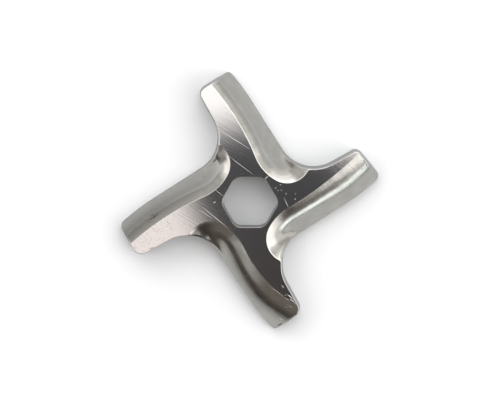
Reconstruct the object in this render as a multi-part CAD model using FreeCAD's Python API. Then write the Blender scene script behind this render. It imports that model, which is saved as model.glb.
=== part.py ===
import FreeCAD, Part
import math
import os

# Knife of a meat grinder: one cast piece of stainless steel with a hexagonal drive hole and four
# swept arms. Millimetres. The origin is the centre of the drive hole in the bottom face, +Z points
# out of the ground cutting face, and +X points at a corner of the hexagon.
# One arm is described, the one that points along +X, and the others are turned copies of it. Only
# their scoops differ a little.
# The knife turns anticlockwise seen from above, so each arm's leading edge is its upper left one.

# Whole knife
thickness = 7.0
wall_draft = 2.3
bottom_round = 0.7

# Drive hole
hex_across_flats = 9.0
hex_corner_radius = 1.4
hex_chamfer = 0.1

# Outline of the arm at the bottom face. Angles are degrees from +X, anticlockwise.
# Both long edges start as straight lines that pass the axis on its right, by their setback.
lead_angle = 29.0
lead_setback = 0.98
trail_angle = 32.4
trail_setback = 9.71
# Further out the trailing edge bulges: an arc that starts this far along its straight line.
belly_start = 13.3
belly_radius = 42.0
# The arm ends in a flat arc. Its middle point is given from the axis, with the way it faces.
tip_reach = 22.36
tip_bearing = 18.35
tip_facing = 35.0
tip_radius = 46.0
trail_corner_radius = 0.75
lead_corner_radius = 1.5
# Where an arm's leading edge meets the next arm's trailing edge.
root_radius = 6.5

# Scoop behind the cutting edge. Its rim on the cutting face is a chain of three tangent arcs:
# a crescent beside the hub, a bend, and a long arc that leaves through the tip. Section square
# to the rim: it drops from the face at the rim angle, rolls over, and then falls at the flank
# angle to the wall of the arm. The radius of the crescent and the rim angle are the cutter's.
crescent_radius = 4.3
rim_drop_angle = 14.0
# The rest was blended by hand, so each arm has its own sizes, anticlockwise from the arm at +X.
# The crescent's centre lies ahead of the axis and to its right. An exit is the rim's direction,
# going outward, where an arc hands over to the next one. The tip land is the ground face left
# beside the nose. Where it is negative, the rim runs out through the nose by that much.
scoops = [
    {"crescent_ahead": 7.55, "crescent_aside": 6.9, "crescent_exit": 66.0,
     "bend_radius": 11.0, "bend_exit": 29.0, "tip_land": -0.65,
     "rollover_radius": 5.8, "flank_drop_angle": 54.0},
    {"crescent_ahead": 7.7, "crescent_aside": 6.8, "crescent_exit": 62.0,
     "bend_radius": 8.6, "bend_exit": 22.0, "tip_land": 1.65,
     "rollover_radius": 3.4, "flank_drop_angle": 58.0},
    {"crescent_ahead": 7.75, "crescent_aside": 6.85, "crescent_exit": 61.0,
     "bend_radius": 8.6, "bend_exit": 24.5, "tip_land": 1.55,
     "rollover_radius": 3.5, "flank_drop_angle": 58.0},
    {"crescent_ahead": 7.65, "crescent_aside": 7.0, "crescent_exit": 60.0,
     "bend_radius": 9.3, "bend_exit": 24.5, "tip_land": -1.5,
     "rollover_radius": 5.2, "flank_drop_angle": 48.0},
]

# Working values
arm_count = len(scoops)
arm_pitch = 360.0 / arm_count
top_inset = thickness * math.tan(math.radians(wall_draft))
tool_overrun = 1.0
up = FreeCAD.Vector(0, 0, 1)


def along(angle):
    """Unit vector in the plane, at an angle in degrees from +X."""
    return FreeCAD.Vector(math.cos(math.radians(angle)), math.sin(math.radians(angle)), 0)


def turned(vector, angle):
    """A vector of the plane, turned anticlockwise by an angle in degrees."""
    return FreeCAD.Rotation(up, angle).multVec(vector)


def bearing(vector):
    """Angle in degrees from +X to a vector of the plane."""
    return math.degrees(math.atan2(vector.y, vector.x))


def circles_meet(center_a, radius_a, center_b, radius_b):
    """The point on both circles that lies farther out along +X."""
    across = center_b - center_a
    gap = across.Length
    reach = (radius_a ** 2 - radius_b ** 2 + gap ** 2) / (2 * gap)
    height = math.sqrt(radius_a ** 2 - reach ** 2)
    foot = center_a + across * (reach / gap)
    side = turned(across, 90) * (height / gap)
    return max(foot + side, foot - side, key=lambda point: point.x)


def line_meets_circle(start, direction, center, radius):
    """Where a line leaves a circle, going along its direction."""
    ahead = (center - start).dot(direction)
    nearest = start + direction * ahead
    return nearest + direction * math.sqrt(radius ** 2 - (center - nearest).Length ** 2)


def lines_meet(start_a, direction_a, start_b, direction_b):
    """Where two lines of the plane cross."""
    square = turned(direction_b, 90)
    return start_a + direction_a * ((start_b - start_a).dot(square) / direction_a.dot(square))


def arc_about(center, radius, from_angle, to_angle):
    """Circular arc between two bearings about its centre. It passes the middle bearing."""
    points = [center + along(angle) * radius
              for angle in (from_angle, (from_angle + to_angle) / 2, to_angle)]
    return Part.Arc(*points).toShape()


def tip_circle_center():
    """Centre of the arc that ends the arm."""
    return along(tip_bearing) * tip_reach - along(tip_facing) * tip_radius


def nose_center():
    """Centre of the rounded corner between the tip and the leading edge."""
    lead_left = along(lead_angle + 90)
    return line_meets_circle(lead_left * -(lead_setback + lead_corner_radius), along(lead_angle),
                             tip_circle_center(), tip_radius - lead_corner_radius)


def quarter_edges(inset):
    """Edges of one arm's outline and the root after it, moved inward by the inset."""
    trail = along(trail_angle)
    trail_left = along(trail_angle + 90)
    tip_center = tip_circle_center()
    nose = nose_center()

    # Trailing edge: straight, then the belly, then the corner to the tip
    belly_foot = trail * belly_start - trail_left * trail_setback
    belly_center = belly_foot + trail_left * belly_radius
    corner = circles_meet(belly_center, belly_radius - trail_corner_radius,
                          tip_center, tip_radius - trail_corner_radius)
    corner_from = bearing(corner - belly_center)
    corner_to = bearing(corner - tip_center)
    nose_from = bearing(nose - tip_center)

    # Root between the leading edge and the next arm's trailing edge
    next_trail = turned(trail, arm_pitch)
    next_left = turned(trail_left, arm_pitch)
    root = lines_meet(along(lead_angle + 90) * (root_radius - lead_setback), along(lead_angle),
                      next_left * -(trail_setback + root_radius), next_trail)
    root_end = trail_angle + arm_pitch + 90 - 360

    belly_arc = arc_about(belly_center, belly_radius - inset, trail_angle - 90, corner_from)
    corner_arc = arc_about(corner, trail_corner_radius - inset, corner_from, corner_to)
    tip_arc = arc_about(tip_center, tip_radius - inset, corner_to, nose_from)
    nose_arc = arc_about(nose, lead_corner_radius - inset, nose_from, lead_angle + 90)
    root_arc = arc_about(root, root_radius + inset, lead_angle - 90, root_end)
    lead_line = Part.makeLine(nose_arc.lastVertex().Point, root_arc.firstVertex().Point)
    next_line = Part.makeLine(root_arc.lastVertex().Point,
                              turned(belly_arc.firstVertex().Point, arm_pitch))
    return [belly_arc, corner_arc, tip_arc, nose_arc, lead_line, root_arc, next_line]


def outline(inset, height):
    """Closed outline of the whole knife at a height."""
    edges = []
    for arm in range(arm_count):
        for edge in quarter_edges(inset):
            copy = edge.copy()
            copy.rotate(FreeCAD.Vector(), up, arm * arm_pitch)
            copy.translate(up * height)
            edges.append(copy)
    return Part.Wire(edges)


def make_blank():
    """Drafted body with the rounded bottom edge, before holes and scoops."""
    body = Part.makeLoft([outline(0, 0), outline(top_inset, thickness)], True, True)
    bottom_edges = [edge for edge in body.Edges if edge.BoundBox.ZMax < thickness / 2]
    return body.makeFillet(bottom_round, bottom_edges)


def hexagon(offset, height):
    """Drive hole's outline at a height, moved outward by the offset, with rounded corners."""
    half = hex_across_flats / 2 + offset
    corner_radius = hex_corner_radius + offset
    corner_reach = (half - corner_radius) / math.cos(math.radians(30))
    corners = [arc_about(along(60 * side) * corner_reach, corner_radius,
                         60 * side - 30, 60 * side + 30) for side in range(6)]
    edges = []
    for side, corner in enumerate(corners):
        following = corners[(side + 1) % 6]
        flat = Part.makeLine(corner.lastVertex().Point, following.firstVertex().Point)
        edges += [corner, flat]
    wire = Part.Wire(edges)
    wire.translate(up * height)
    return wire


def make_drive_hole():
    """Cutter for the drive hole, with a chamfer at both faces."""
    flare = hex_chamfer + tool_overrun
    bore = Part.makeLoft([hexagon(0, -tool_overrun), hexagon(0, thickness + tool_overrun)],
                         True, True)
    bottom = Part.makeLoft([hexagon(flare, -tool_overrun), hexagon(0, hex_chamfer)], True, True)
    top = Part.makeLoft([hexagon(0, thickness - hex_chamfer),
                         hexagon(flare, thickness + tool_overrun)], True, True)
    return bore.fuse([bottom, top])


def slope(drop_angle):
    """Way down a slope of the scoop's section, as a unit vector in the XZ plane."""
    drop = math.radians(drop_angle)
    return FreeCAD.Vector(math.cos(drop), 0, -math.sin(drop))


def square_to_slope(drop_angle):
    """Unit vector that stands square on such a slope."""
    drop = math.radians(drop_angle)
    return FreeCAD.Vector(math.sin(drop), 0, math.cos(drop))


def scoop_section(scoop, widest):
    """Section of a scoop as a face in the XZ plane. The rim is at X = 0 and the scoop toward +X.

    The flank ends below the bottom face, or at the widest reach if that comes first.
    """
    radius = scoop["rollover_radius"]
    flank_angle = scoop["flank_drop_angle"]
    rim = up * thickness
    before_rim = rim - slope(rim_drop_angle) * tool_overrun
    roll_center = rim - square_to_slope(rim_drop_angle) * radius
    roll_middle = roll_center + square_to_slope((rim_drop_angle + flank_angle) / 2) * radius
    roll_end = roll_center + square_to_slope(flank_angle) * radius
    flank = slope(flank_angle)
    flank_length = min((roll_end.z + tool_overrun) / -flank.z, (widest - roll_end.x) / flank.x)
    flank_end = roll_end + flank * flank_length
    ceiling = thickness + tool_overrun
    edges = [Part.makeLine(before_rim, rim),
             Part.Arc(rim, roll_middle, roll_end).toShape(),
             Part.makeLine(roll_end, flank_end)]
    edges += Part.makePolygon([flank_end,
                               FreeCAD.Vector(flank_end.x, 0, ceiling),
                               FreeCAD.Vector(before_rim.x, 0, ceiling),
                               before_rim]).Edges
    return Part.Face(Part.Wire(edges))


def scoop_stretch(scoop, center, rim_radius, start_heading, sweep):
    """Stretch of a scoop along one arc of its rim: the section turned about the arc's centre.

    The start heading is the rim's direction where the turning starts. The rim radius is positive
    where the arc's centre is on the scoop's side, and negative where it is on the face's side.
    """
    widest = rim_radius if rim_radius > 0 else math.inf
    section = scoop_section(scoop, widest)
    section.translate(FreeCAD.Vector(-rim_radius, 0, 0))
    stretch = section.revolve(FreeCAD.Vector(), up, sweep)
    stretch.rotate(FreeCAD.Vector(), up, start_heading - 90)
    stretch.translate(center)
    return stretch


def make_scoop(scoop):
    """Cutters for the scoop of one arm: the crescent, the bend, and the outer stretch."""
    crescent_exit = scoop["crescent_exit"]
    bend_exit = scoop["bend_exit"]
    bend_radius = scoop["bend_radius"]
    crescent_center = FreeCAD.Vector(scoop["crescent_ahead"], -scoop["crescent_aside"], 0)
    crescent_end = crescent_center + along(crescent_exit + 90) * crescent_radius
    bend_center = crescent_end - along(crescent_exit + 90) * bend_radius
    bend_end = bend_center + along(bend_exit + 90) * bend_radius

    # The outer arc leaves the bend tangentially and passes the land's end on the tip
    tip_center = tip_circle_center()
    tip = tip_radius - top_inset
    land = math.degrees(scoop["tip_land"] / tip)
    land_end = tip_center + along(bearing(nose_center() - tip_center) - land) * tip
    chord = land_end - bend_end
    outer_left = along(bend_exit + 90)
    outer_radius = chord.Length ** 2 / (2 * chord.dot(outer_left))
    outer_center = bend_end + outer_left * outer_radius
    outer_sweep = math.degrees(tip_reach / outer_radius)

    half_turn = 180
    bend_sweep = crescent_exit - bend_exit
    return [scoop_stretch(scoop, crescent_center, crescent_radius, crescent_exit, half_turn),
            scoop_stretch(scoop, bend_center, bend_radius, bend_exit, bend_sweep),
            scoop_stretch(scoop, outer_center, -outer_radius, bend_exit, outer_sweep)]


def make_knife():
    """The finished casting: drafted blank, drive hole, and a scoop behind each cutting edge."""
    knife = make_blank().cut(make_drive_hole())
    for arm, scoop in enumerate(scoops):
        for stretch in make_scoop(scoop):
            stretch.rotate(FreeCAD.Vector(), up, arm * arm_pitch)
            knife = knife.cut(stretch)
    return knife.removeSplitter()


os.makedirs("parts", exist_ok=True)
make_knife().exportStep("parts/grinder_knife.step")
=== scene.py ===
import math
import bpy
import bmesh
import numpy as np
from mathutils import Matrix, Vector
from mathutils.geometry import delaunay_2d_cdt
from mathutils.kdtree import KDTree


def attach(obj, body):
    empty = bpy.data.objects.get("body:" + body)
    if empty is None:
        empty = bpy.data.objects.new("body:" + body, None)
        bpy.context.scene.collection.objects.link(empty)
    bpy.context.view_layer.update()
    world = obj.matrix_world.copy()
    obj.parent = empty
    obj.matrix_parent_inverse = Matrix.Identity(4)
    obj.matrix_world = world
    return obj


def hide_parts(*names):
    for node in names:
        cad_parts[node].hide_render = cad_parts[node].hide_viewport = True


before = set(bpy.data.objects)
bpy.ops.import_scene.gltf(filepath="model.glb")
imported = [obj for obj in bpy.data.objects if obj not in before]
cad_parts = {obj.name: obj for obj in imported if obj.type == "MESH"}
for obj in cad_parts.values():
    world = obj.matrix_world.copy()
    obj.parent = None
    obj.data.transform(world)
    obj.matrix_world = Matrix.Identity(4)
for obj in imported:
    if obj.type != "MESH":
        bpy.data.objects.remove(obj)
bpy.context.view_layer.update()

# Camera
# It hangs straight above the table. The knife's ground face shows 2 pixels nearer the picture's
# bottom than its foot does, so the camera leans back by a few degrees, toward the picture's top.
MM = 0.001
picture_width = 500
pixels_per_mm = 5.587
camera_distance = 680 * MM
camera_lean = math.radians(3.15)

camera_data = bpy.data.cameras.new("camera")
camera_data.sensor_fit = "HORIZONTAL"
half_view = picture_width / pixels_per_mm / 2 * MM
camera_data.angle = 2 * math.atan(half_view / camera_distance)
camera_data.clip_start = 10 * MM
camera = bpy.data.objects.new("camera", camera_data)
camera.location = (0, camera_distance * math.sin(camera_lean),
                   camera_distance * math.cos(camera_lean))
camera.rotation_euler = (-camera_lean, 0, 0)
bpy.context.scene.collection.objects.link(camera)
bpy.context.scene.camera = camera


# Table and room
# The knife lies on a sheet of white paper in an ordinary room. The room is drawn by direction:
# pale walls with windows on three sides, a lamp at the lower right, and whoever takes the picture
# as a dark shape that leans in from below. Its patches were fitted to what the metal mirrors.
def add_node(tree, kind, inputs=None, **settings):
    """New shader node. Settings are its properties, and inputs are values or sockets to link."""
    node = tree.nodes.new(kind)
    for name, value in settings.items():
        setattr(node, name, value)
    for name, value in (inputs or {}).items():
        if isinstance(value, bpy.types.NodeSocket):
            tree.links.new(value, node.inputs[name])
        else:
            node.inputs[name].default_value = value
    return node


def math_node(tree, operation, *values):
    """Socket with the result of a sum. Values are numbers or sockets."""
    inputs = dict(enumerate(values))
    return add_node(tree, "ShaderNodeMath", inputs, operation=operation).outputs[0]


def soft_step(tree, value, start, end):
    """Socket that rises from 0 to 1 while a value goes from start to end."""
    step = add_node(tree, "ShaderNodeMapRange",
                    {"Value": value, "From Min": start, "From Max": end},
                    interpolation_type="SMOOTHSTEP")
    return step.outputs["Result"]


def mix_colours(tree, share, first, second):
    """Socket with a blend of two colours, each a value or a socket."""
    mix = add_node(tree, "ShaderNodeMix", {0: share}, data_type="RGBA")
    for socket, colour in ((mix.inputs[6], first), (mix.inputs[7], second)):
        if isinstance(colour, bpy.types.NodeSocket):
            tree.links.new(colour, socket)
        else:
            socket.default_value = (*colour, 1)
    return mix.outputs[2]


def make_room():
    """World shader. Each patch spans some bearings from +X and some angles from straight up."""
    world = bpy.data.worlds.new("room")
    bpy.context.scene.world = world
    world.use_nodes = True
    tree = world.node_tree
    tree.nodes.clear()
    looking = add_node(tree, "ShaderNodeTexCoord").outputs["Generated"]
    split = add_node(tree, "ShaderNodeSeparateXYZ", {0: looking})
    from_zenith = math_node(tree, "DEGREES", math_node(tree, "ARCCOSINE", split.outputs["Z"]))
    angle = math_node(tree, "ARCTAN2", split.outputs["Y"], split.outputs["X"])
    angle = math_node(tree, "DEGREES", angle)

    walls = (0.66, 0.65, 0.62)
    # name, colour, bearing, half width, upper and lower angle from the zenith, softness
    patches = [
        ("wall_upper_right", (1.08, 1.06, 1.02), 35, 30, 10, 64, 10),
        ("wall_right_low", (0.86, 0.85, 0.82), 35, 30, 62, 98, 8),
        ("window_above", (2.20, 2.17, 2.10), 80, 32, 12, 46, 8),
        ("curtain_above", (1.75, 1.72, 1.67), 80, 32, 44, 70, 8),
        ("wall_above", (1.30, 1.28, 1.23), 80, 32, 66, 100, 8),
        ("ceiling_light", (3.30, 3.25, 3.15), 55, 55, 7, 20, 3),
        ("window_top", (3.00, 2.95, 2.88), 85, 22, 10, 36, 5),
        ("doorway", (0.84, 0.82, 0.79), 129, 13, 34, 98, 8),
        ("ceiling_left", (1.60, 1.55, 1.50), 130, 18, 8, 22, 4),
        ("window_left", (2.05, 1.98, 1.93), 180, 27, 12, 66, 8),
        ("wall_left", (1.20, 1.16, 1.12), 180, 27, 62, 98, 8),
        ("window_side", (0.44, 0.42, 0.40), -157, 11, 38, 98, 8),
        ("window_right", (2.35, 2.28, 2.22), -17, 35, 12, 62, 6),
        ("wall_right", (1.38, 1.35, 1.31), -15, 31, 60, 98, 6),
        ("cupboard", (0.32, 0.27, 0.26), -70, 15, 10, 58, 5),
        ("gap_beside_lamp", (0.33, 0.31, 0.30), -60, 13.5, 49, 65, 4),
        ("lamp", (2.95, 3.11, 3.04), -53, 19, 71.5, 85.5, 2.0),
        ("lamp_bar", (0.40, 0.44, 0.43), -50, 24, 77.0, 79.5, 1.0),
        ("below_lamp", (0.12, 0.14, 0.135), -46, 24, 85.5, 97, 2),
        ("person", (0.245, 0.215, 0.19), -100, 36, 6, 94, 6),
        ("lap", (0.18, 0.155, 0.135), -112, 42, 66, 98, 6),
    ]
    colour = add_node(tree, "ShaderNodeRGB").outputs[0]
    colour.default_value = (*walls, 1)
    for name, light, bearing_of, half_width, upper, lower, soft in patches:
        turned = math_node(tree, "WRAP", math_node(tree, "SUBTRACT", angle, bearing_of), 180, -180)
        aside = math_node(tree, "ABSOLUTE", turned)
        mask = soft_step(tree, aside, half_width + soft, half_width - soft)
        above = soft_step(tree, from_zenith, upper - soft, upper + soft)
        below = soft_step(tree, from_zenith, lower + soft, lower - soft)
        mask = math_node(tree, "MULTIPLY", mask, math_node(tree, "MULTIPLY", above, below))
        colour = mix_colours(tree, mask, colour, light)
        colour.node.label = name

    # Straight overhead is the white ceiling, and in front of it the head and shoulders of whoever
    # takes the picture: a soft dark shape that the ground face mirrors. Across and up are slopes.
    across = math_node(tree, "DIVIDE", split.outputs["X"], split.outputs["Z"])
    upward = math_node(tree, "DIVIDE", split.outputs["Y"], split.outputs["Z"])
    ceiling_near = (1.52, 1.38, 1.33)
    ceiling_far = (1.90, 1.83, 1.80)
    ceiling = mix_colours(tree, soft_step(tree, upward, -0.07, -0.01), ceiling_near, ceiling_far)
    overhead = soft_step(tree, from_zenith, 12, 8)
    colour = mix_colours(tree, overhead, colour, ceiling)
    head_middle = 0.005
    head_top = -0.0172
    head_rounding = 7.4
    head_fade = (-0.0145, 0.0185)
    head_fade_power = 1.5
    shoulder_left = -0.030
    shoulder_below = 0.0626
    shoulder_lean = 0.4
    shoulder_fade = 0.012
    aside = math_node(tree, "SUBTRACT", across, head_middle)
    fall = math_node(tree, "MULTIPLY", math_node(tree, "MULTIPLY", aside, aside), head_rounding)
    above_head = math_node(tree, "SUBTRACT", math_node(tree, "ADD", upward, fall), head_top)
    open_above = math_node(tree, "POWER", soft_step(tree, above_head, *head_fade), head_fade_power)
    past_shoulder = math_node(tree, "ADD", across, math_node(
        tree, "MULTIPLY", math_node(tree, "ADD", upward, shoulder_below), shoulder_lean))
    hidden = soft_step(tree, past_shoulder, shoulder_left - shoulder_fade,
                       shoulder_left + shoulder_fade)
    mask = math_node(tree, "MULTIPLY", hidden, math_node(tree, "SUBTRACT", 1.0, open_above))
    mask = math_node(tree, "MULTIPLY", mask, overhead)
    hair = (0.098, 0.096, 0.102)
    coat = (0.088, 0.078, 0.078)
    head = mix_colours(tree, soft_step(tree, upward, -0.04, -0.10), hair, coat)
    colour = mix_colours(tree, mask, colour, head)
    light = add_node(tree, "ShaderNodeBackground", {"Color": colour, "Strength": 1.0})
    add_node(tree, "ShaderNodeOutputWorld", {"Surface": light.outputs[0]})


make_room()

paper_half_width = 0.6
paper_white = (0.758, 0.778, 0.804, 1)
paper_rough = 0.9
paper_mesh = bpy.data.meshes.new("paper")
paper_mesh.from_pydata([(x * paper_half_width, y * paper_half_width, 0)
                        for x, y in ((-1, -1), (1, -1), (1, 1), (-1, 1))], [], [(0, 1, 2, 3)])
paper = bpy.data.objects.new("paper", paper_mesh)
bpy.context.scene.collection.objects.link(paper)
paper_finish = bpy.data.materials.new("white_paper")
paper_finish.use_nodes = True
paper_shader = paper_finish.node_tree.nodes["Principled BSDF"]
paper_shader.inputs["Base Color"].default_value = paper_white
paper_shader.inputs["Roughness"].default_value = paper_rough
paper_mesh.materials.append(paper_finish)

# Soft daylight from a high window at the upper left deepens the shadows under the right arm.
# The metal doesn't mirror this lamp, only the patches of the room.
lamp_distance = 1.2
lamp_size = 0.6
lamp_power = 3.1
lamp_bearing = math.radians(128)
lamp_height = math.radians(44)
lamp_data = bpy.data.lights.new("high_window", "AREA")
lamp_data.shape = "SQUARE"
lamp_data.size = lamp_size
lamp_data.energy = lamp_power
lamp = bpy.data.objects.new("high_window", lamp_data)
lamp.location = (lamp_distance * math.cos(lamp_height) * math.cos(lamp_bearing),
                 lamp_distance * math.cos(lamp_height) * math.sin(lamp_bearing),
                 lamp_distance * math.sin(lamp_height))
lamp.rotation_euler = (-lamp.location).to_track_quat("-Z", "Y").to_euler()
lamp.visible_glossy = False
bpy.context.scene.collection.objects.link(lamp)


# Knife
# One casting of stainless steel with four swept arms and a hexagonal drive hole. Its scoops and
# walls are as they left the tumbling drum, and its top face is ground flat, which leaves a sharp
# edge along the front of each arm. Lengths are millimetres until the mesh is made.
thickness = 7.0
wall_lean = math.tan(math.radians(2.3))
foot_round = 0.7
hex_across_flats = 8.95
hex_corner = 1.9
hex_chamfer = 0.05
# Spacing of the mesh along the outline and the rims
fine = 0.12

lead_angle = 29.0
trail_angle = 32.4
tip_bearing = 18.35
tip_radius = 46.0
root_radius = 6.5
rim_drop = math.radians(14)
rim_softness = 0.12
rim_ease = 0.2
crown_radius = 1350.0

# The arms share one pattern. Their outlines and scoops differ a little, as the photo shows. Of the
# keys, "end" is for the root end of the crescent, "root" and "tip" for the two ends of the slope.
# The stain keys set a brownish stain in each scoop, which is partly painted shade.
arms = [
    dict(turn=0, belly_start=13.5, belly_radius=41.6, tip_reach=22.37, tip_facing=39.5,
         trail_corner=1.04, nose=1.26, lead_setback=0.92, trail_setback=9.67,
         crescent=7.14 - 6.55j, crescent_radius=4.25, crescent_exit=64.0,
         bend_radius=8.5, bend_exit=30.9, outer_radius=67.6,
         rollover_end=8.0, rollover_root=5.6, rollover_tip=8.0, flank_drop=55,
         stain_and_shade_end=0.0, stain_and_shade_root=0.9, stain_and_shade_tip=0.05, stain_and_shade_width=0.9,
         hollow_root=0.5, hollow_tip=0.4),
    dict(turn=90, belly_start=14.9, belly_radius=41.1, tip_reach=22.36, tip_facing=32.3,
         trail_corner=0.86, nose=1.6, lead_setback=1.2, trail_setback=9.83,
         crescent=7.55 - 6.61j, crescent_radius=4.19, crescent_exit=59.2,
         bend_radius=8.6, bend_exit=22.1, outer_radius=44.2,
         rollover_end=6.5, rollover_root=3.6, rollover_tip=3.3, flank_drop=58,
         stain_and_shade_end=0.0, stain_and_shade_root=0.05, stain_and_shade_tip=0.15, stain_and_shade_width=0.9,
         hollow_root=1.9, hollow_tip=1.7),
    dict(turn=180, belly_start=14.2, belly_radius=41.8, tip_reach=22.9, tip_facing=30.9,
         trail_corner=1.24, nose=1.97, lead_setback=0.77, trail_setback=9.62,
         crescent=7.7 - 6.7j, crescent_radius=4.2, crescent_exit=61.0,
         bend_radius=8.6, bend_exit=23.2, outer_radius=46.4,
         rollover_end=6.0, rollover_root=3.6, rollover_tip=3.4, flank_drop=58,
         stain_and_shade_end=0.0, stain_and_shade_root=0.05, stain_and_shade_tip=0.55, stain_and_shade_width=1.6,
         hollow_root=1.6, hollow_tip=1.6),
    dict(turn=270, belly_start=12.9, belly_radius=41.5, tip_reach=22.56, tip_facing=34.9,
         trail_corner=0.8, nose=1.76, lead_setback=1.2, trail_setback=9.74,
         crescent=7.59 - 6.95j, crescent_radius=4.2, crescent_exit=57.0,
         bend_radius=10.3, bend_exit=25.7, outer_radius=23.2,
         rollover_end=9.0, rollover_root=5.3, rollover_tip=7.5, flank_drop=48,
         stain_and_shade_end=0.8, stain_and_shade_root=0.13, stain_and_shade_tip=0.5, stain_and_shade_width=0.9,
         hollow_root=1.9, hollow_tip=3.1),
]


def toward(angle):
    """Unit number of the plane that points along an angle in degrees from +X."""
    return np.exp(1j * np.radians(angle))


def along(a, b):
    """Dot product of plane numbers."""
    return (a * np.conj(b)).real


def bearing(number):
    return math.degrees(math.atan2(number.imag, number.real))


def arc_stations(center, radius, start, end, hollow=False):
    """Points along an arc, the way each faces, and how tightly the outline turns there."""
    count = max(3, math.ceil(abs(math.radians(end - start)) * radius / fine) + 1)
    facing = toward(np.linspace(start, end, count))
    points = center + radius * facing
    turn = np.full(count, math.inf if hollow else radius)
    return points[:-1], (-facing if hollow else facing)[:-1], turn[:-1]


def line_stations(start, end):
    count = max(2, math.ceil(abs(end - start) / fine) + 1)
    points = start + (end - start) * np.linspace(0, 1, count)
    facing = np.full(count, -1j * (end - start) / abs(end - start))
    return points[:-1], facing[:-1], np.full(count - 1, math.inf)


def arm_stations(arm, following):
    """Outline of an arm at the foot, anticlockwise, and of the root up to the arm after it."""
    lead = toward(lead_angle)
    trail = toward(trail_angle)
    belly_center = trail * (arm["belly_start"] + 1j * (arm["belly_radius"] - arm["trail_setback"]))
    tip_center = arm["tip_reach"] * toward(tip_bearing) - tip_radius * toward(arm["tip_facing"])

    # Corner between the belly and the tip: on both circles, moved in by its radius
    inner_belly = arm["belly_radius"] - arm["trail_corner"]
    inner_tip = tip_radius - arm["trail_corner"]
    across = tip_center - belly_center
    reach = (inner_belly ** 2 - inner_tip ** 2 + abs(across) ** 2) / (2 * abs(across))
    rise = math.sqrt(inner_belly ** 2 - reach ** 2)
    corner = max((belly_center + across / abs(across) * (reach + side * rise)
                  for side in (1j, -1j)), key=lambda point: point.real)

    # Nose between the tip and the leading edge
    foot = -1j * lead * (arm["lead_setback"] + arm["nose"])
    nearest = foot + lead * along(tip_center - foot, lead)
    spread = (tip_radius - arm["nose"]) ** 2 - abs(tip_center - nearest) ** 2
    nose = nearest + lead * math.sqrt(spread)

    # Root before the next arm, whose straight trailing edge it runs into
    next_trail = 1j * trail
    from_lead = 1j * lead * (root_radius - arm["lead_setback"])
    from_trail = -1j * next_trail * (following["trail_setback"] + root_radius)
    slide = along(from_trail - from_lead, 1j * next_trail) / along(lead, 1j * next_trail)
    root = from_lead + lead * slide

    belly_end = bearing(corner - belly_center)
    corner_end = bearing(corner - tip_center)
    nose_start = bearing(nose - tip_center)
    root_end = trail_angle + 180 - 360
    pieces = [
        arc_stations(belly_center, arm["belly_radius"], trail_angle - 90, belly_end),
        arc_stations(corner, arm["trail_corner"], belly_end, corner_end),
        arc_stations(tip_center, tip_radius, corner_end, nose_start),
        arc_stations(nose, arm["nose"], nose_start, lead_angle + 90),
        line_stations(nose + arm["nose"] * 1j * lead, root - root_radius * 1j * lead),
        arc_stations(root, root_radius, lead_angle - 90, root_end, hollow=True),
        line_stations(root + root_radius * toward(root_end),
                      next_trail * (following["belly_start"] - 1j * following["trail_setback"])),
    ]
    points, facing, turn = (np.concatenate(column) for column in zip(*pieces))
    return points * toward(arm["turn"]), facing * toward(arm["turn"]), turn


def rim_arcs(arm):
    """The rim's arcs in the arm's own frame: centre, radius, bearings, and side of the scoop."""
    exit_one = arm["crescent_exit"]
    exit_two = arm["bend_exit"]
    crescent_end = arm["crescent"] + arm["crescent_radius"] * toward(exit_one + 90)
    bend = crescent_end - arm["bend_radius"] * toward(exit_one + 90)
    bend_end = bend + arm["bend_radius"] * toward(exit_two + 90)
    outer = bend_end + arm["outer_radius"] * toward(exit_two + 90)
    sweep = math.degrees(arm["tip_reach"] / arm["outer_radius"])
    return [(arm["crescent"], arm["crescent_radius"], exit_one + 90, exit_one + 195, 1),
            (bend, arm["bend_radius"], exit_two + 90, exit_one + 90, 1),
            (outer, arm["outer_radius"], exit_two - 90, exit_two - 90 + sweep, -1)]


def into_scoop(points, arm):
    """How far points lie inside the rim of an arm's scoop. On the other side it is negative.

    Past its ends the rim goes on in straight lines: along the arm, and out of the root.
    """
    local = points * toward(-arm["turn"])
    nearest = np.full(points.shape, math.inf)
    inside = np.zeros(points.shape)
    arcs = rim_arcs(arm)
    for center, radius, start, end, side in arcs:
        spoke = local - center
        around = (np.degrees(np.angle(spoke)) - start) % 360
        across = np.abs(radius - np.abs(spoke))
        use = (around <= end - start) & (across < nearest)
        inside = np.where(use, side * (radius - np.abs(spoke)), inside)
        nearest = np.where(use, across, nearest)
    crescent, _, outer = arcs
    lines = [(outer[0] + outer[1] * toward(outer[3]), toward(outer[3] + 90), -1),
             (crescent[0] + crescent[1] * toward(crescent[3]), toward(-40), 1)]
    for origin, way, side in lines:
        ahead = along(local - origin, way)
        left = along(local - origin, 1j * way)
        gap = np.where(ahead > 0, np.abs(left), np.abs(local - origin))
        use = gap < nearest
        inside = np.where(use, side * np.sign(left) * gap, inside)
        nearest = np.where(use, gap, nearest)
    return inside


def along_scoop(points, arm):
    """Shares from 0 to 1 that tell how near points are to the scoop's root end and to its tip."""
    local = points * toward(-arm["turn"])
    fade_start = 5.5
    fade_length = 2.8
    slope_start = 6
    slope_length = 12
    rootward = np.clip((-local.imag - fade_start) / fade_length, 0, 1)
    outward = np.clip((local.real - slope_start) / slope_length, 0, 1)
    return rootward ** 2 * (3 - 2 * rootward), outward


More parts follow.
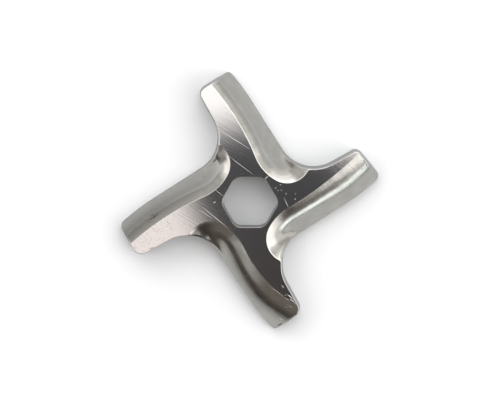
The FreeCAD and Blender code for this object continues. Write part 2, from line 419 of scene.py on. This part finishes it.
def scoop_drop(points, arm):
    """How far an arm's scoop lies below the ground face: a rolled-over edge, then a slope.

    The roll grows wider toward the root end, where the scoop fades out.
    """
    inside = np.clip(into_scoop(points, arm), 0, None)
    rootward, outward = along_scoop(points, arm)
    rollover = arm["rollover_root"] + (arm["rollover_tip"] - arm["rollover_root"]) * outward ** 2
    rollover += (arm["rollover_end"] - arm["rollover_root"]) * rootward
    flank = math.radians(arm["flank_drop"])
    rolled = rollover * (math.sin(flank) - math.sin(rim_drop))
    across = np.minimum(inside, rolled) + rollover * math.sin(rim_drop)
    drop = rollover * math.cos(rim_drop) - np.sqrt(rollover ** 2 - across ** 2)
    drop += np.clip(inside - rolled, 0, None) * math.tan(flank)
    return drop - rim_ease * rim_softness * (1 - np.exp(-inside / rim_softness))


def stain_and_painted_shade_at(points):
    """Strength of the brownish stain, partly painted shade, along the hollow of each scoop, from 0 to
    1.
    """
    stain_and_shade_start = 3.5
    stain_and_shade_onset = 3
    rim_margin = 0.05
    rim_onset = 0.5
    total = np.zeros(points.shape)
    for arm in arms:
        inside = into_scoop(points, arm)
        rootward, outward = along_scoop(points, arm)
        hollow = arm["hollow_root"] + (arm["hollow_tip"] - arm["hollow_root"]) * outward
        strength = arm["stain_and_shade_root"] + (arm["stain_and_shade_tip"] - arm["stain_and_shade_root"]) * np.sqrt(outward)
        ahead = (points * toward(-arm["turn"])).real
        begun = np.clip((ahead - stain_and_shade_start) / stain_and_shade_onset, 0, 1) * (1 - rootward)
        across = (inside - hollow) / arm["stain_and_shade_width"]
        total = np.maximum(total, strength * begun * np.exp(-across ** 2))
        at_end = np.clip((inside - rim_margin) / rim_onset, 0, 1) * rootward
        total = np.maximum(total, arm["stain_and_shade_end"] * at_end)
    return total


def deepest_scoop(points):
    """How far each point lies inside the nearest scoop's rim. On the ground face it is negative."""
    return np.max([into_scoop(points, arm) for arm in arms], axis=0)


def crowned(points):
    """Height of the ground face, drawn very slightly round to mirror the room as in the photo."""
    return thickness - np.abs(points) ** 2 / (2 * crown_radius)


def top_height(points):
    """Height of the top surface. Away from the rims it is the mean over a small disc, which
    joins the two sides of each crescent as smoothly as a casting does."""
    disc_growth = 0.36
    widest_disc = 1.4
    rings = ((0.36, range(0, 360, 60)), (0.68, range(15, 375, 30)), (1.0, range(0, 360, 20)))
    inside = deepest_scoop(points)
    disc = np.clip(disc_growth * inside, 0, widest_disc)
    height = crowned(points)
    sunk = inside > 0
    total = np.zeros(sunk.sum())
    around = [0] + [share * toward(angle) for share, angles in rings for angle in angles]
    for step in around:
        near_by = points[sunk] + disc[sunk] * step
        total += np.max([scoop_drop(near_by, arm) for arm in arms], axis=0)
    height[sunk] -= total / len(around)
    return height


def hex_loop(offset):
    """Outline of the drive hole, moved outward by an offset, with evenly divided corners."""
    corner_stations = 7
    flat_stations = 25
    corner = hex_corner + offset
    reach = (hex_across_flats / 2 + offset - corner) / math.cos(math.radians(30))
    points = []
    for side in range(6):
        center = reach * toward(60 * side)
        bend = center + corner * toward(
            np.linspace(60 * side - 30, 60 * side + 30, corner_stations))
        after = reach * toward(60 * side + 60) + corner * toward(60 * side + 30)
        flat = bend[-1] + (after - bend[-1]) * np.linspace(0, 1, flat_stations)[1:-1]
        points += [*bend, *flat]
    return np.array(points)


def inside_hex(points, offset):
    """Whether points lie within the drive hole, grown by an offset."""
    flats = [along(points, toward(60 * side + 30)) for side in range(6)]
    return np.max(flats, axis=0) < hex_across_flats / 2 + offset


def circular_blur(values, reach):
    """Running mean around the outline."""
    return np.mean([np.roll(values, shift) for shift in range(-reach, reach + 1)], axis=0)


def stack_walls(points, facing, turn):
    """Rows of vertices around the outline, from the foot up and over the top edge.

    The top edge is found where the leaning wall meets the top surface, and is rounded by taking
    the mean of the sharp profile over a short way to either side.
    """
    def inward(depth):
        return points - facing * depth

    lean_in = np.full(points.shape, wall_lean * thickness)
    for _ in range(4):
        edge_height = top_height(inward(lean_in))
        lean_in = wall_lean * edge_height
    # Where a scoop reaches the wall the edge is rounded widely, and on the ground face hardly
    near = 0.06
    least_rounding = 0.08
    scoop_rounding = 0.34
    rounding_onset = 0.6
    share_of_bend = 0.32
    slope = np.arctan((top_height(inward(lean_in + near)) - edge_height) / near)
    slope = np.clip(circular_blur(slope, 2), 0, None)
    softness = np.clip(deepest_scoop(inward(lean_in)) / rounding_onset, 0, 1)
    rounding = least_rounding + scoop_rounding * softness ** 2 * (3 - 2 * softness)
    rounding = np.minimum(rounding, share_of_bend * (turn - lean_in))
    rounding = circular_blur(rounding, 5)

    foot_rows = 8
    wall_rows = 6
    edge_rows = 11
    wall_clearance = 1.3
    rows = []
    for angle in np.radians(np.linspace(-90, 0, foot_rows)):
        depth = foot_round * (1 - math.cos(angle)) + foot_round * wall_lean
        rows.append((inward(depth), np.full(points.shape, foot_round * (1 + math.sin(angle)))))
    wall_top = edge_height - wall_clearance * rounding
    for share in np.linspace(0, 1, wall_rows + 1)[1:]:
        height = foot_round + (wall_top - foot_round) * share
        rows.append((inward(height * wall_lean), height))

    def sharp_profile(way):
        """Depth and height of the unrounded profile. The way is negative down the wall."""
        on_wall = np.minimum(way, 0)
        on_top = np.maximum(way, 0) * np.cos(slope)
        depth = lean_in + on_wall * wall_lean + on_top
        height = np.where(way < 0, edge_height + on_wall, top_height(inward(depth)))
        return depth, height

    first_over_edge = len(rows)
    for step in np.linspace(-1.1, 1.2, edge_rows):
        near_by = [sharp_profile((step + aside) * rounding) for aside in np.linspace(-1, 1, 9)]
        depth, height = np.mean(near_by, axis=0)
        rows.append((inward(depth), height))
    return rows, first_over_edge


def surface_points(border, facing):
    """Points on the top surface within a border: rows along the rims, and a grid on the face."""
    face_margin = 1.0
    border_margin = 0.07
    closest = 0.07
    rim_clearance = 0.05
    hex_clearance = 0.05
    rows = [-0.9, -0.5, -0.28, -0.12, 0.08, 0.18, 0.29]
    rows += list(np.arange(0.42, 6.5, 0.16))
    scattered = []
    rims = []
    for arm in arms:
        for center, radius, start, end, side in rim_arcs(arm):
            for inside in rows:
                ring = radius - side * inside
                count = int(math.radians(end - start) * ring / (fine * 1.3))
                if count > 1:
                    spokes = toward(np.linspace(start, end, count + 1)[:-1])
                    scattered.append((center + ring * spokes) * toward(arm["turn"]))
        chain = [center + radius * toward(np.linspace(*bearings, 1 + max(
                     2, int(math.radians(abs(bearings[1] - bearings[0])) * radius / fine))))
                 for center, radius, bearings in
                 ((c, r, (e, s) if side > 0 else (s, e)) for c, r, s, e, side in rim_arcs(arm))]
        chain = np.concatenate([chain[0], chain[1][1:], chain[2][1:]])
        rims.append(chain * toward(arm["turn"]))
    step = 0.45
    half_grid = 24
    grid = np.arange(-half_grid, half_grid, step)
    grid = (grid[:, None] + 1j * grid[None, :]).ravel()
    scattered.append(grid[deepest_scoop(grid) < -face_margin])
    scattered = np.concatenate(scattered)

    tree = KDTree(len(border))
    for index, point in enumerate(border):
        tree.insert((point.real, point.imag, 0), index)
    tree.balance()

    def well_inside(points, margin):
        nearest = [tree.find((p.real, p.imag, 0))[1] for p in points]
        gap = along(border[nearest] - points, facing[nearest])
        return (gap > margin) & ~inside_hex(points, hex_chamfer + hex_clearance + margin)

    scattered = scattered[well_inside(scattered, border_margin)]
    # Rows of neighbouring arcs overlap. Of two points that almost meet, the later one goes.
    kept = KDTree(len(scattered))
    for index, point in enumerate(scattered):
        kept.insert((point.real, point.imag, 0), index)
    kept.balance()
    use = np.ones(len(scattered), bool)
    for index, point in enumerate(scattered):
        if use[index]:
            for _, other, _ in kept.find_range((point.real, point.imag, 0), closest):
                if other > index:
                    use[other] = False
    scattered = scattered[use]
    chains = [rim[well_inside(rim, rim_clearance)] for rim in rims]
    near_rim = np.abs(deepest_scoop(scattered)) < rim_clearance
    return scattered[~near_rim], chains


def flat_coordinates(points):
    return [Vector((point.real, point.imag)) for point in points]


def build_knife_mesh():
    """The whole closed surface, in metres."""
    stations = [arm_stations(arm, arms[(index + 1) % 4]) for index, arm in enumerate(arms)]
    points, facing, turn = (np.concatenate(column) for column in zip(*stations))
    rows, first_over_edge = stack_walls(points, facing, turn)
    rows_below_face = 4
    hole_rows = 4
    longest_jump = 2.5 * fine
    only_inside = 2
    tolerance = 1e-5
    mesh = bmesh.new()
    ground = mesh.faces.layers.int.new("ground")

    def add_row(plane_points, heights):
        heights = np.broadcast_to(heights, plane_points.shape)
        return [mesh.verts.new((p.real * MM, p.imag * MM, h * MM))
                for p, h in zip(plane_points, heights)]

    def join(lower, upper, is_ground):
        count = len(lower)
        for index in range(count):
            after = (index + 1) % count
            face = mesh.faces.new((lower[index], lower[after], upper[after], upper[index]))
            face[ground] = int(is_ground[index])

    wall = [add_row(*row) for row in rows]
    for level in range(len(rows) - 1):
        over = level >= first_over_edge + rows_below_face
        on_face = deepest_scoop(rows[level + 1][0]) < 0
        join(wall[level], wall[level + 1], on_face & over)

    chamfer_rows = [(share * hex_chamfer, sunk * hex_chamfer) for share, sunk in
                    ((1.4, 0.0), (1.0, 0.08), (0.8, 0.25), (0.25, 0.8), (0.08, 1.0), (0.0, 1.4))]
    hole = [add_row(hex_loop(offset), crowned(hex_loop(offset)) - sunk)
            for offset, sunk in chamfer_rows]
    for share in np.linspace(0, 1, hole_rows + 2)[1:-1]:
        height = 2 * hex_chamfer + (thickness - 4 * hex_chamfer) * (1 - share)
        hole.append(add_row(hex_loop(0), height))
    hole += [add_row(hex_loop(offset), sunk) for offset, sunk in reversed(chamfer_rows)]
    nowhere = np.zeros(len(hole[0]))
    for upper, lower in zip(hole, hole[1:]):
        join(upper, lower, nowhere)

    border = rows[-1][0]
    scattered, chains = surface_points(border, facing)
    top_hex = hex_loop(chamfer_rows[0][0])
    loop_count = len(border)
    hex_count = len(top_hex)
    plane = flat_coordinates(border) + flat_coordinates(top_hex)
    edges = []
    for chain in chains:
        first = len(plane)
        plane += flat_coordinates(chain)
        jumps = np.abs(np.diff(chain))
        edges += [(first + index, first + index + 1)
                  for index, jump in enumerate(jumps) if jump < longest_jump]
    plane += flat_coordinates(scattered)
    loops = [list(range(loop_count)), list(range(loop_count, loop_count + hex_count))[::-1]]
    flat, _, triangles, source, _, _ = delaunay_2d_cdt(plane, edges, loops, only_inside, tolerance)
    flat = np.array([v.x + 1j * v.y for v in flat])
    heights = top_height(flat)
    top = []
    for index, origins in enumerate(source):
        fixed = [origin for origin in origins if origin < loop_count + hex_count]
        if fixed and fixed[0] < loop_count:
            top.append(wall[-1][fixed[0]])
        elif fixed:
            top.append(hole[0][fixed[0] - loop_count])
        else:
            point = flat[index]
            top.append(mesh.verts.new((point.real * MM, point.imag * MM, heights[index] * MM)))
    middles = np.array([flat[list(triangle)].mean() for triangle in triangles])
    on_face = deepest_scoop(middles) < 0
    for triangle, is_ground in zip(triangles, on_face):
        face = mesh.faces.new([top[index] for index in triangle])
        face[ground] = int(is_ground)

    foot = rows[0][0]
    plane = flat_coordinates(foot) + flat_coordinates(top_hex)
    _, _, triangles, source, _, _ = delaunay_2d_cdt(plane, [], loops, only_inside, tolerance)
    under = [wall[0][o[0]] if o[0] < loop_count else hole[-1][o[0] - loop_count] for o in source]
    for triangle in triangles:
        mesh.faces.new([under[index] for index in triangle])
    bmesh.ops.recalc_face_normals(mesh, faces=mesh.faces)

    for face in mesh.faces:
        face.smooth = True
        face.material_index = face[ground]
    for edge in mesh.edges:
        kinds = {face.material_index for face in edge.link_faces}
        edge.smooth = len(kinds) == 1
    result = bpy.data.meshes.new("knife")
    mesh.to_mesh(result)
    mesh.free()
    places = np.array([vertex.co[:2] for vertex in result.vertices]) / MM
    places = places[:, 0] + 1j * places[:, 1]
    upright = np.array([1 - abs(normal.vector.z) for normal in result.vertex_normals])
    # The stain attribute holds the brownish stain in the scoops, part of which is painted shade.
    for name, values in (("stain_and_shade", stain_and_painted_shade_at(places)), ("upright", upright)):
        layer = result.attributes.new(name, "FLOAT", "POINT")
        layer.data.foreach_set("value", values.astype(np.float32))
    return result


def new_group(name, inputs, outputs):
    """Shader node group with its input and output nodes. Sockets are name and kind."""
    group = bpy.data.node_groups.new(name, "ShaderNodeTree")
    for label, kind in inputs:
        group.interface.new_socket(label, in_out="INPUT", socket_type="NodeSocket" + kind)
    for label, kind in outputs:
        group.interface.new_socket(label, in_out="OUTPUT", socket_type="NodeSocket" + kind)
    start = group.nodes.new("NodeGroupInput").outputs
    end = group.nodes.new("NodeGroupOutput").inputs
    return group, start, end


def use_group(tree, group, inputs):
    """Outputs of a new node that runs a group. Inputs are values or sockets to link."""
    return add_node(tree, "ShaderNodeGroup", inputs, node_tree=group).outputs


def make_scratch_group():
    """Mask of one straight mark in the plane, thinner toward its ends. Lengths are millimetres."""
    group, start, end = new_group(
        "scratch", [("Place", "Vector"), ("From", "Vector"), ("To", "Vector"), ("Width", "Float")],
        [("Mask", "Float")])
    way = add_node(group, "ShaderNodeVectorMath", {0: start["To"], 1: start["From"]},
                   operation="SUBTRACT").outputs[0]
    here = add_node(group, "ShaderNodeVectorMath", {0: start["Place"], 1: start["From"]},
                    operation="SUBTRACT").outputs[0]
    flat = add_node(group, "ShaderNodeVectorMath", {0: here}, operation="MULTIPLY")
    flat.inputs[1].default_value = (1, 1, 0)
    flat = flat.outputs[0]
    reach = add_node(group, "ShaderNodeVectorMath", {0: flat, 1: way},
                     operation="DOT_PRODUCT").outputs["Value"]
    square = add_node(group, "ShaderNodeVectorMath", {0: way, 1: way},
                      operation="DOT_PRODUCT").outputs["Value"]
    share = math_node(group, "DIVIDE", reach, square)
    held = add_node(group, "ShaderNodeClamp", {"Value": share}).outputs[0]
    nearest = add_node(group, "ShaderNodeVectorMath", {0: way}, operation="SCALE")
    group.links.new(held, nearest.inputs["Scale"])
    gap = add_node(group, "ShaderNodeVectorMath", {0: flat, 1: nearest.outputs[0]},
                   operation="DISTANCE").outputs["Value"]
    middle = math_node(group, "ABSOLUTE", math_node(group, "SUBTRACT", held, 0.5))
    width = math_node(group, "MULTIPLY", start["Width"],
                      math_node(group, "SUBTRACT", 1.0, math_node(group, "MULTIPLY", middle, 1.4)))
    fall = math_node(group, "DIVIDE", gap, width)
    group.links.new(soft_step(group, fall, 1.0, 0.3), end["Mask"])
    return group


def make_spots_group():
    """Mask of small spots, strewn unevenly over a share of the surface."""
    group, start, end = new_group(
        "spots", [("Place", "Vector"), ("Size", "Float"), ("Share", "Float")], [("Mask", "Float")])
    scale = math_node(group, "DIVIDE", 0.45, start["Size"])
    cells = add_node(group, "ShaderNodeTexVoronoi",
                     {"Vector": start["Place"], "Scale": scale, "Randomness": 1.0})
    chosen = add_node(group, "ShaderNodeSeparateColor", {0: cells.outputs["Color"]}).outputs[0]
    chosen = math_node(group, "LESS_THAN", chosen, start["Share"])
    dot = soft_step(group, cells.outputs["Distance"], 0.30, 0.16)
    group.links.new(math_node(group, "MULTIPLY", chosen, dot), end["Mask"])
    return group


def noise(tree, place, scale, detail=2.0, rough=0.5):
    """Noise from 0 to 1 at a scale of so many waves a millimetre."""
    return add_node(tree, "ShaderNodeTexNoise",
                    {"Vector": place, "Scale": scale, "Detail": detail, "Roughness": rough},
                    noise_dimensions="3D").outputs[0]


def new_finish(name):
    """New material, its node tree, its Principled shader, and places in millimetres."""
    finish = bpy.data.materials.new(name)
    finish.use_nodes = True
    tree = finish.node_tree
    shader = tree.nodes["Principled BSDF"]
    shader.inputs["Metallic"].default_value = 1.0
    metres = add_node(tree, "ShaderNodeTexCoord").outputs["Object"]
    place = add_node(tree, "ShaderNodeVectorMath", {0: metres, "Scale": 1000.0}, operation="SCALE")
    return finish, tree, shader, place.outputs[0]


def marks_mask(tree, scratch, place, marks):
    """Mask of a list of marks, each with its two ends in the plane and its half width."""
    mask = None
    for start, stop, width in marks:
        one = use_group(tree, scratch, {"Place": place, "From": (*start, 0), "To": (*stop, 0),
                                        "Width": width})["Mask"]
        mask = one if mask is None else math_node(tree, "MAXIMUM", mask, one)
    return mask


def spread(tree, value, start, end, least, most):
    """Socket that goes evenly from the least to the most while a value goes from start to end."""
    return add_node(tree, "ShaderNodeMapRange",
                    {"Value": value, "From Min": start, "From Max": end, "To Min": least,
                     "To Max": most}).outputs[0]


def make_tumbled_steel(scratch, spots):
    """Cast and tumbled surface: satin, faintly pebbled, polished near the rims, darker and rougher
    lower down. Shade is painted on the walls, and partly into the stain in the scoops.
    """
    skin_high = (0.46, 0.455, 0.435)
    skin_low = (0.358, 0.353, 0.331)
    # Brown of the scoops' stain, which is partly painted shade
    stain_and_shade_brown = (0.045, 0.040, 0.034)
    # Dark grey painted on the walls as shade
    wall_painted_shade = (0.21, 0.21, 0.205)
    scratch_bright = (0.90, 0.89, 0.87)
    pit_dark = (0.035, 0.032, 0.03)
    pebble_depth = 0.0085
    right_arm_pebble_depth = 0.0065
    wave_depth = 0.012
    pit_depth = 0.03
    finish, tree, shader, place = new_finish("tumbled_steel")
    where = add_node(tree, "ShaderNodeSeparateXYZ", {0: place}).outputs
    height = where["Z"]
    right_arm = soft_step(tree, where["X"], 3.5, 6.0)
    stain_and_shade = add_node(tree, "ShaderNodeAttribute", attribute_name="stain_and_shade").outputs["Fac"]
    upright = add_node(tree, "ShaderNodeAttribute", attribute_name="upright").outputs["Fac"]
    low = soft_step(tree, height, 6.6, 4.9)
    cloudy = noise(tree, place, 0.55, 3.0)
    colour = mix_colours(tree, low, skin_high, skin_low)

    # A brownish stain lies in the hollow of each scoop, stronger on some arms. Part of it is painted
    # shade, which darkens places that the mirrored room leaves too light.
    streaks = spread(tree, cloudy, 0.3, 0.7, 0.8, 1.15)
    hollow = math_node(tree, "MULTIPLY", streaks, stain_and_shade)
    colour = mix_colours(tree, hollow, colour, stain_and_shade_brown)

    # Painted shade: the walls get a dark grey that stands for the shaded paper they mirror near the
    # foot
    walls = soft_step(tree, upright, 0.55, 0.85)
    colour = mix_colours(tree, walls, colour, wall_painted_shade)
    shade = spread(tree, cloudy, 0.25, 0.75, 0.90, 1.10)
    colour = add_node(tree, "ShaderNodeVectorMath", {0: colour, "Scale": shade},
                      operation="SCALE").outputs[0]
    pits = use_group(tree, spots, {"Place": place, "Size": 0.16, "Share": 0.02})["Mask"]

    # A crack in the casting of the left arm, the broken corner of the right one, and a chip at
    # the tip of the lower one
    cracks = [
        ((-16.3, -1.85), (-16.7, -2.5), 0.13),
        ((-16.5, -2.3), (-17.3, -2.85), 0.15),
        ((-16.9, -2.75), (-18.1, -3.15), 0.12),
        ((-17.7, -3.0), (-18.8, -3.4), 0.08),
        ((-16.8, -2.15), (-17.8, -2.6), 0.09),
        ((-17.8, -3.5), (-18.05, -3.55), 0.16),
        ((20.1, 7.4), (20.45, 6.9), 0.07),
        ((20.6, 6.75), (20.75, 6.2), 0.09),
        ((20.75, 6.25), (21.1, 5.85), 0.07),
        ((4.95, -22.25), (5.8, -21.8), 0.19),
    ]
    crack = marks_mask(tree, scratch, place, cracks)
    scratches = [
        ((4.0, -15.3), (5.9, -16.7), 0.045),
        ((6.2, -17.0), (7.0, -17.5), 0.04),
        ((6.55, -18.15), (7.65, -18.9), 0.055),
        ((6.3, -18.6), (6.6, -18.75), 0.045),
        ((5.2, -20.9), (5.9, -21.05), 0.09),
        ((6.15, 0.6), (6.75, -1.0), 0.04),
    ]
    bright = marks_mask(tree, scratch, place, scratches)
    colour = mix_colours(tree, bright, colour, scratch_bright)
    dark = math_node(tree, "MAXIMUM", math_node(tree, "MULTIPLY", pits, 0.7), crack)
    colour = mix_colours(tree, dark, colour, pit_dark)
    tree.links.new(colour, shader.inputs["Base Color"])
    rough = spread(tree, noise(tree, place, 1.1, 3.0), 0.3, 0.7, 0.09, 0.15)
    rough = math_node(tree, "ADD", rough, math_node(tree, "MULTIPLY", low, 0.05))
    rough = math_node(tree, "ADD", rough, math_node(tree, "MULTIPLY", walls, 0.2))
    rough = math_node(tree, "ADD", rough, math_node(tree, "MULTIPLY", bright, 0.4))
    tree.links.new(rough, shader.inputs["Roughness"])
    pebbles = noise(tree, place, 4.2, 3.0, 0.6)
    waves = noise(tree, place, 0.7, 1.0)
    pebbled = math_node(tree, "ADD", pebble_depth,
                        math_node(tree, "MULTIPLY", right_arm, right_arm_pebble_depth))
    relief = math_node(tree, "ADD", math_node(tree, "MULTIPLY", pebbles, pebbled),
                       math_node(tree, "MULTIPLY", waves, wave_depth))
    relief = math_node(tree, "SUBTRACT", relief, math_node(tree, "MULTIPLY", dark, pit_depth))
    bump = add_node(tree, "ShaderNodeBump", {"Height": relief, "Distance": MM, "Strength": 1.0})
    tree.links.new(bump.outputs[0], shader.inputs["Normal"])
    return finish


def make_ground_steel(scratch, spots):
    """Ground and lapped face: nearly a mirror, with fine lines from the stone and some use."""
    face_colour = (0.55, 0.55, 0.545)
    scratch_bright = (0.85, 0.85, 0.84)
    tarnish_dark = (0.10, 0.08, 0.07)
    line_depth = 0.0009
    grain_depth = 0.0003
    lines_angle = math.radians(30)
    finish, tree, shader, place = new_finish("ground_steel")
    turned = add_node(tree, "ShaderNodeVectorRotate", {"Vector": place, "Angle": lines_angle},
                      rotation_type="Z_AXIS").outputs[0]
    stretched = add_node(tree, "ShaderNodeVectorMath", {0: turned}, operation="MULTIPLY")
    stretched.inputs[1].default_value = (0.16, 3.4, 0.0)
    lines = noise(tree, stretched.outputs[0], 1.0, 4.0, 0.65)
    relief = math_node(tree, "MULTIPLY", lines, line_depth)
    grains = noise(tree, place, 3.2, 3.0, 0.6)
    relief = math_node(tree, "ADD", relief, math_node(tree, "MULTIPLY", grains, grain_depth))

    # Bright scratches and ticks from use, and dark pits and a crack toward the left arm's tip
    scratches = [
        ((-5.1, 12.6), (0.0, 9.4), 0.040),
        ((-3.8, 8.2), (0.4, 5.0), 0.034),
        ((-6.2, 2.3), (-4.7, 1.0), 0.030),
        ((-8.4, -0.9), (-3.8, -4.7), 0.034),
        ((-9.2, -1.2), (-6.4, -3.1), 0.026),
        ((6.05, 0.75), (6.85, -1.05), 0.036),
        ((5.2, 4.2), (6.3, 3.4), 0.030),
        ((2.4, 3.9), (3.3, 4.7), 0.050),
        ((-6.5, -0.1), (-6.1, 0.05), 0.060),
        ((5.36, 3.05), (5.46, 3.1), 0.095),
        ((4.50, 2.5), (4.6, 2.55), 0.08),
        ((4.9, 2.05), (4.98, 2.1), 0.08),
        ((5.5, 2.1), (5.58, 2.15), 0.095),
        ((6.35, 1.45), (6.45, 1.5), 0.08),
        ((8.05, 1.5), (8.12, 1.5), 0.08),
        ((7.95, 0.5), (8.05, 0.6), 0.09),
        ((5.65, -14.8), (6.0, -15.25), 0.055),
        ((6.8, -16.5), (8.5, -18.6), 0.030),
        ((6.3, -16.2), (8.2, -17.6), 0.026),
        ((6.75, -16.5), (7.45, -17.0), 0.055),
        ((6.98, -17.2), (7.85, -17.75), 0.055),
    ]
    bright = marks_mask(tree, scratch, place, scratches)
    where = add_node(tree, "ShaderNodeSeparateXYZ", {0: place}).outputs
    near_nose = soft_step(tree, add_node(tree, "ShaderNodeVectorMath", {0: place, 1: (7.4, -17.6, 7)},
                          operation="DISTANCE").outputs["Value"], 3.0, 1.2)
    specks = use_group(tree, spots, {"Place": place, "Size": 0.10, "Share": 0.22})["Mask"]
    specks = math_node(tree, "MULTIPLY", specks, near_nose)
    bright = math_node(tree, "MAXIMUM", bright, math_node(tree, "MULTIPLY", specks, 0.8))
    colour = mix_colours(tree, bright, face_colour, scratch_bright)

    cracks = [
        ((-15.0, -3.1), (-14.2, -4.1), 0.045),
        ((-14.2, -4.1), (-13.8, -5.2), 0.045),
        ((-17.9, -8.3), (-17.0, -8.0), 0.09),
    ]
    crack = marks_mask(tree, scratch, place, cracks)
    left_arm = soft_step(tree, where["X"], -11.0, -18.0)
    right_arm = soft_step(tree, where["X"], 12.5, 17.0)
    pits = use_group(tree, spots, {"Place": place, "Size": 0.13, "Share": 0.22})["Mask"]
    fine_pits = use_group(tree, spots, {"Place": place, "Size": 0.11, "Share": 0.05})["Mask"]
    pits = math_node(tree, "MULTIPLY", pits, math_node(tree, "MAXIMUM", left_arm, right_arm))
    dark = math_node(tree, "MULTIPLY", math_node(tree, "MAXIMUM", pits, fine_pits), 0.45)
    tarnish = soft_step(tree, noise(tree, place, 3.6, 4.0, 0.7), 0.50, 0.66)
    tarnish = math_node(tree, "MULTIPLY", tarnish, math_node(tree, "MAXIMUM", left_arm, right_arm))
    dark = math_node(tree, "MAXIMUM", dark, math_node(tree, "MULTIPLY", tarnish, 0.22))
    dark = math_node(tree, "MAXIMUM", dark, math_node(tree, "MULTIPLY", crack, 0.85))
    colour = mix_colours(tree, dark, colour, tarnish_dark)
    tree.links.new(colour, shader.inputs["Base Color"])
    rough = math_node(tree, "ADD", 0.045, math_node(tree, "MULTIPLY", bright, 0.45))
    rough = math_node(tree, "ADD", rough, math_node(tree, "MULTIPLY", dark, 0.3))
    tree.links.new(rough, shader.inputs["Roughness"])
    bump = add_node(tree, "ShaderNodeBump", {"Height": relief, "Distance": MM, "Strength": 1.0})
    tree.links.new(bump.outputs[0], shader.inputs["Normal"])
    return finish


knife_mesh = build_knife_mesh()
scratch_group = make_scratch_group()
spots_group = make_spots_group()
knife_mesh.materials.append(make_tumbled_steel(scratch_group, spots_group))
knife_mesh.materials.append(make_ground_steel(scratch_group, spots_group))
knife = bpy.data.objects.new("knife", knife_mesh)
bpy.context.scene.collection.objects.link(knife)
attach(knife, "root")
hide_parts("grinder_knife")

bpy.context.scene.view_settings.view_transform = "Standard"
